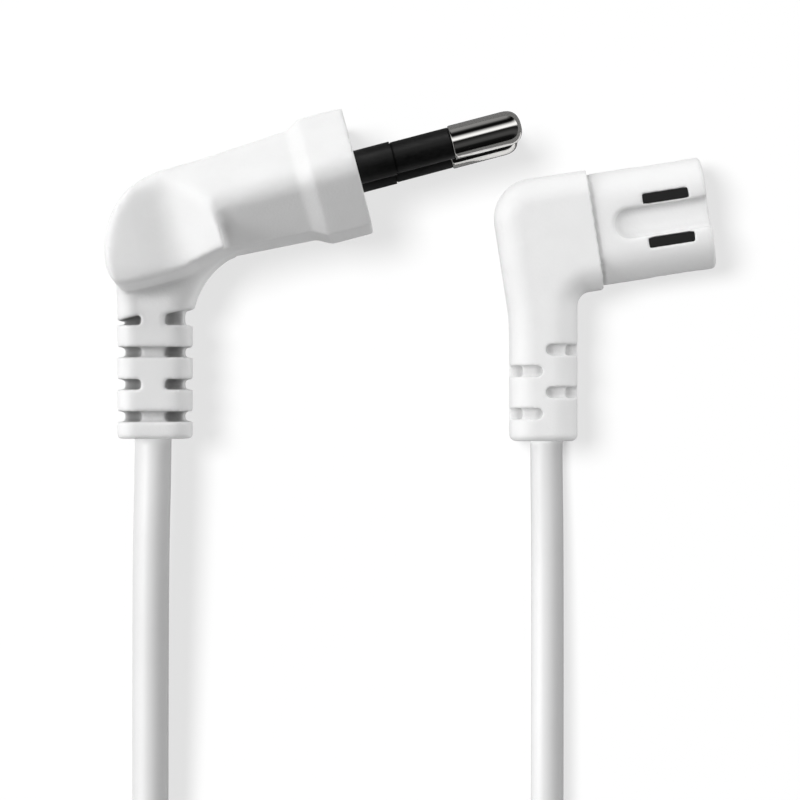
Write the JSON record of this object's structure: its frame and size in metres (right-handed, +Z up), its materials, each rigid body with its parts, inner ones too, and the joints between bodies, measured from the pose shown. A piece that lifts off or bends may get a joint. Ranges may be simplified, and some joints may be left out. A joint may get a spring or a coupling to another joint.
{
  "type": "europlug",
  "caption": "White moulded lead with an angled two-pin europlug, slotted strain reliefs, flat cord and an angled figure-eight connector, for mains supply to small appliances.",
  "frame": {"origin": "middle of the plug's engagement face, halfway between the pins", "axes": "+X out of the face along the pins, +Z up along the line of the two pins"},
  "size_m": [0.1186, 0.1781, 0.0353],
  "materials": {
    "white_pvc": "satin white moulded PVC",
    "white_cord": "satin white extruded PVC sheath",
    "black_insulator": "satin black hard plastic",
    "nickel_pin": "bright nickel on brass",
    "contact_metal": "tinned spring metal",
    "brown_core": "brown PVC insulation",
    "blue_core": "light blue PVC insulation",
    "copper": "bare copper strands",
    "white_strap": "white soft plastic strap"
  },
  "bodies": {
    "root": {"plug_housing": "white_pvc", "connector_housing": "white_pvc", "cord_plug_run": "white_cord", "cord_coil": "white_cord", "cord_connector_run": "white_cord", "pin_bridge": "black_insulator", "pin_sleeve_live": "black_insulator", "pin_sleeve_neutral": "black_insulator", "contact_frame": "black_insulator", "pin_live": "nickel_pin", "pin_neutral": "nickel_pin", "contact_live": "contact_metal", "contact_neutral": "contact_metal", "plug_core_live": "brown_core", "connector_core_live": "brown_core", "plug_core_neutral": "blue_core", "connector_core_neutral": "blue_core", "plug_strands_live": "copper", "plug_strands_neutral": "copper", "connector_strands_live": "copper", "connector_strands_neutral": "copper", "coil_tie": "white_strap"}
  },
  "joints": []
}
